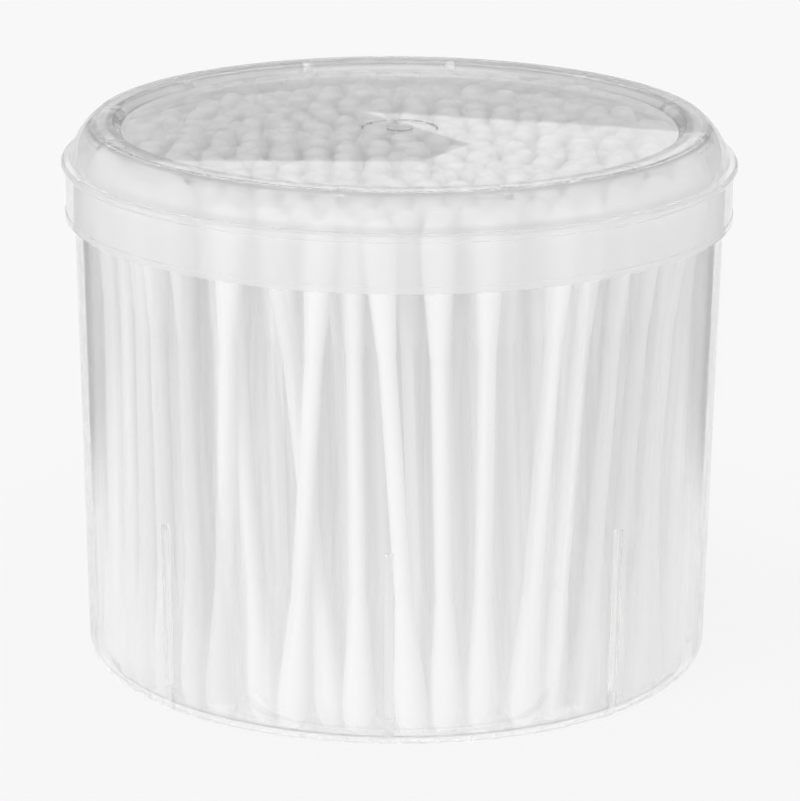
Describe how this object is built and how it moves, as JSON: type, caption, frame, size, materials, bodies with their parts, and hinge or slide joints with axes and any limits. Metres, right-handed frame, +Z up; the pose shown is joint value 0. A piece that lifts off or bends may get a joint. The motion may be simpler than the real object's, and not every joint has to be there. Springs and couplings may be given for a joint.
{
  "type": "cotton swab tub",
  "caption": "Round clear plastic tub with a domed push-down lid, full of standing double-ended cotton swabs.",
  "frame": {"origin": "middle of the tub's foot, on the table", "axes": "+Z up along the tub's axis, -Y towards the viewer, +X to the right"},
  "size_m": [0.097, 0.097, 0.0796],
  "materials": {
    "clear_tub": "clear, glossy moulded",
    "clear_lid": "clear, glossy moulded",
    "stick": "smooth white, matt",
    "cotton": "wound white cotton, soft"
  },
  "bodies": {
    "tub": {"tub": "clear_tub", "sticks_row_1": "stick", "sticks_row_2": "stick", "sticks_row_3": "stick", "sticks_row_4": "stick", "sticks_row_5": "stick", "sticks_row_6": "stick", "sticks_row_7": "stick", "sticks_row_8": "stick", "sticks_row_9": "stick", "lower_tips_row_1": "cotton", "lower_tips_row_2": "cotton", "lower_tips_row_3": "cotton", "lower_tips_row_4": "cotton", "lower_tips_row_5": "cotton", "lower_tips_row_6": "cotton", "lower_tips_row_7": "cotton", "lower_tips_row_8": "cotton", "lower_tips_row_9": "cotton", "upper_tips_row_1": "cotton", "upper_tips_row_2": "cotton", "upper_tips_row_3": "cotton", "upper_tips_row_4": "cotton", "upper_tips_row_5": "cotton", "upper_tips_row_6": "cotton", "upper_tips_row_7": "cotton", "upper_tips_row_8": "cotton", "upper_tips_row_9": "cotton"},
    "lid": {"lid": "clear_lid"}
  },
  "joints": [
    {"name": "lid_lift", "type": "slide", "parent": "tub", "child": "lid", "axis": [0, 0, 1], "range_m": [0, 0.02]}
  ]
}
